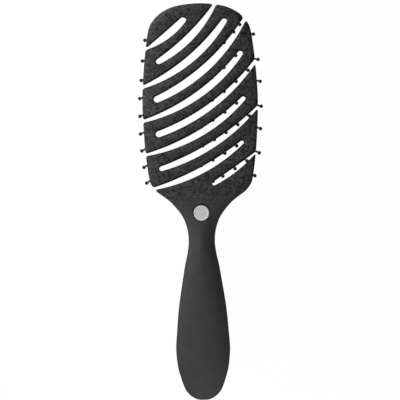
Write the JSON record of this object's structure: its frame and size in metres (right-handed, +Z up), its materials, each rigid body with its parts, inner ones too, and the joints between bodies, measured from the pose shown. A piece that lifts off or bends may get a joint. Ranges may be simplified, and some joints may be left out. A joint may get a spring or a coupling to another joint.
{
  "type": "detangling brush",
  "caption": "Vented paddle detangling brush: a flexing head of curved strips with ball-tipped pins, on a handle with a slim neck and a bulb end.",
  "frame": {"origin": "centre of the bounding box in plan, on the surface the brush rests on with its pins down", "axes": "+Z up through the back of the head, +Y from the end of the handle towards the crown of the head, X across the head"},
  "size_m": [0.0745, 0.235, 0.0221],
  "materials": {
    "soft_black": "soft-touch matte black moulding",
    "pin_black": "smooth black nylon",
    "badge_metal": "satin silver disc"
  },
  "bodies": {
    "handle": {"handle_back": "soft_black", "handle_front": "soft_black", "badge": "badge_metal", "pin_row_neck": "pin_black"},
    "strip_01": {"rib_01": "soft_black", "pin_row_01": "pin_black"},
    "strip_02": {"rib_02": "soft_black", "pin_row_02": "pin_black"},
    "strip_03": {"rib_03": "soft_black", "pin_row_03": "pin_black"},
    "strip_04": {"rib_04": "soft_black", "pin_row_04": "pin_black"},
    "strip_05": {"rib_05": "soft_black", "pin_row_05": "pin_black"},
    "strip_06": {"rib_06": "soft_black", "pin_row_06": "pin_black"},
    "strip_07": {"rib_07": "soft_black", "pin_row_07": "pin_black"},
    "strip_08": {"rib_08": "soft_black", "pin_row_08": "pin_black"},
    "strip_09": {"rib_09": "soft_black", "pin_row_09": "pin_black"},
    "strip_10": {"rib_10": "soft_black", "pin_row_10": "pin_black"}
  },
  "joints": [
    {"name": "bend_10", "type": "hinge", "parent": "handle", "child": "strip_10", "pos_m": [0.00771, 0.0159, 0.0195], "axis": [1, 0, 0], "range_deg": [-2.5, 2.5], "stiffness_Nm_per_rad": 2},
    {"name": "bend_09", "type": "hinge", "parent": "strip_10", "child": "strip_09", "pos_m": [0.02961, 0.03903, 0.0195], "axis": [1, 0, 0], "range_deg": [-2.5, 2.5], "stiffness_Nm_per_rad": 2},
    {"name": "bend_08", "type": "hinge", "parent": "strip_09", "child": "strip_08", "pos_m": [-0.0279, 0.01805, 0.0195], "axis": [1, 0, 0], "range_deg": [-2.5, 2.5], "stiffness_Nm_per_rad": 2},
    {"name": "bend_07", "type": "hinge", "parent": "strip_08", "child": "strip_07", "pos_m": [0.03027, 0.06566, 0.0195], "axis": [1, 0, 0], "range_deg": [-2.5, 2.5], "stiffness_Nm_per_rad": 2},
    {"name": "bend_06", "type": "hinge", "parent": "strip_07", "child": "strip_06", "pos_m": [-0.02987, 0.03824, 0.0195], "axis": [1, 0, 0], "range_deg": [-2.5, 2.5], "stiffness_Nm_per_rad": 2},
    {"name": "bend_05", "type": "hinge", "parent": "strip_06", "child": "strip_05", "pos_m": [0.02817, 0.09309, 0.0195], "axis": [1, 0, 0], "range_deg": [-2.5, 2.5], "stiffness_Nm_per_rad": 2},
    {"name": "bend_04", "type": "hinge", "parent": "strip_05", "child": "strip_04", "pos_m": [-0.03074, 0.05853, 0.0195], "axis": [1, 0, 0], "range_deg": [-2.5, 2.5], "stiffness_Nm_per_rad": 2},
    {"name": "bend_03", "type": "hinge", "parent": "strip_04", "child": "strip_03", "pos_m": [0.01753, 0.11096, 0.0195], "axis": [1, 0, 0], "range_deg": [-2.5, 2.5], "stiffness_Nm_per_rad": 2},
    {"name": "bend_02", "type": "hinge", "parent": "strip_03", "child": "strip_02", "pos_m": [-0.02943, 0.08039, 0.0195], "axis": [1, 0, 0], "range_deg": [-2.5, 2.5], "stiffness_Nm_per_rad": 2},
    {"name": "bend_01", "type": "hinge", "parent": "strip_02", "child": "strip_01", "pos_m": [-0.00454, 0.11295, 0.0195], "axis": [1, 0, 0], "range_deg": [-2.5, 2.5], "stiffness_Nm_per_rad": 2}
  ]
}
